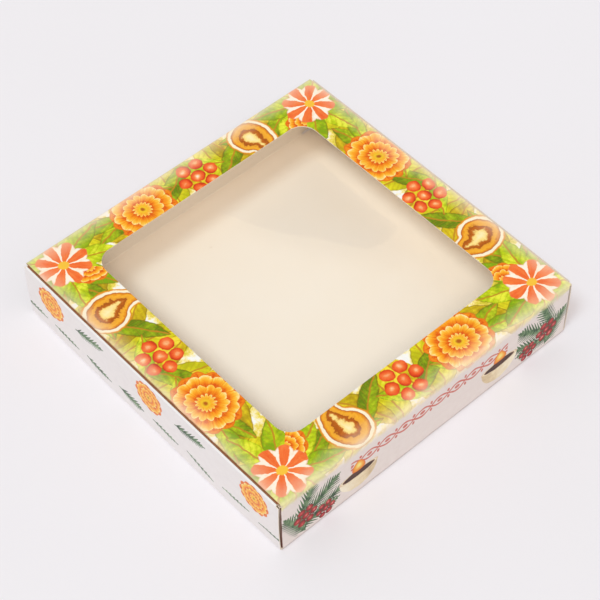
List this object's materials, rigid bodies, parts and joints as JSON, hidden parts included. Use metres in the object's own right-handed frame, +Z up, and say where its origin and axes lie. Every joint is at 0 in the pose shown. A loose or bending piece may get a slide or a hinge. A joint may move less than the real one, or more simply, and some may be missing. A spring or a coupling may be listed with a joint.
{
  "type": "window sweet box",
  "caption": "Flat square folding-board sweet box with a large film window in its printed top and a tuck-in flap closing each end.",
  "frame": {"origin": "centre of the underside", "axes": "+Z up through the top panel, -Y out of the front wall, -X out of the left end"},
  "size_m": [0.202, 0.2, 0.04],
  "materials": {
    "printed_border": "printed and lightly lacquered",
    "printed_wall": "printed and lightly lacquered",
    "plain_board": "uncoated inside of the board",
    "clear_film": "clear and glossy",
    "adhesive": "dried carton adhesive"
  },
  "bodies": {
    "carton": {"bottom_panel": "plain_board", "front_wall": "printed_wall", "back_wall": "printed_wall", "top_panel": "printed_border", "fold_front_bottom": "printed_wall", "fold_front_top": "printed_border", "fold_back_top": "printed_border", "fold_glue_flap": "plain_board", "glue_flap": "plain_board", "seam_glue": "adhesive", "window_film": "clear_film", "film_glue": "adhesive", "left_end_crease": "printed_wall", "right_end_crease": "printed_wall", "front_left_dust_crease": "printed_wall", "back_left_dust_crease": "printed_wall", "front_right_dust_crease": "printed_wall", "back_right_dust_crease": "printed_wall"},
    "left_end": {"left_end_panel": "printed_wall", "left_tuck_crease": "printed_wall"},
    "left_tuck": {"left_tuck_flap": "plain_board"},
    "right_end": {"right_end_panel": "printed_wall", "right_tuck_crease": "printed_wall"},
    "right_tuck": {"right_tuck_flap": "plain_board"},
    "front_left_dust": {"front_left_dust_flap": "plain_board"},
    "back_left_dust": {"back_left_dust_flap": "plain_board"},
    "front_right_dust": {"front_right_dust_flap": "plain_board"},
    "back_right_dust": {"back_right_dust_flap": "plain_board"}
  },
  "joints": [
    {"name": "left_end_hinge", "type": "hinge", "parent": "carton", "child": "left_end", "pos_m": [-0.1005, 0, 0.0005], "axis": [0, -1, 0], "range_deg": [0, 90]},
    {"name": "left_tuck_fold", "type": "hinge", "parent": "left_end", "child": "left_tuck", "pos_m": [-0.1005, 0, 0.0386], "axis": [0, 1, 0], "range_deg": [0, 60]},
    {"name": "right_end_hinge", "type": "hinge", "parent": "carton", "child": "right_end", "pos_m": [0.1005, 0, 0.0005], "axis": [0, 1, 0], "range_deg": [0, 90]},
    {"name": "right_tuck_fold", "type": "hinge", "parent": "right_end", "child": "right_tuck", "pos_m": [0.1005, 0, 0.0386], "axis": [0, -1, 0], "range_deg": [0, 60]},
    {"name": "front_left_dust_hinge", "type": "hinge", "parent": "carton", "child": "front_left_dust", "pos_m": [-0.099, -0.0995, 0.0197], "axis": [0, 0, -1], "range_deg": [0, 80]},
    {"name": "front_right_dust_hinge", "type": "hinge", "parent": "carton", "child": "front_right_dust", "pos_m": [0.099, -0.0995, 0.0197], "axis": [0, 0, 1], "range_deg": [0, 80]},
    {"name": "back_left_dust_hinge", "type": "hinge", "parent": "carton", "child": "back_left_dust", "pos_m": [-0.099, 0.0995, 0.0197], "axis": [0, 0, 1], "range_deg": [0, 80]},
    {"name": "back_right_dust_hinge", "type": "hinge", "parent": "carton", "child": "back_right_dust", "pos_m": [0.099, 0.0995, 0.0197], "axis": [0, 0, -1], "range_deg": [0, 80]}
  ],
  "couplings": [
    {"joint": "left_tuck_fold", "follows": "left_end_hinge", "ratio": 0.65},
    {"joint": "right_tuck_fold", "follows": "right_end_hinge", "ratio": 0.65}
  ]
}
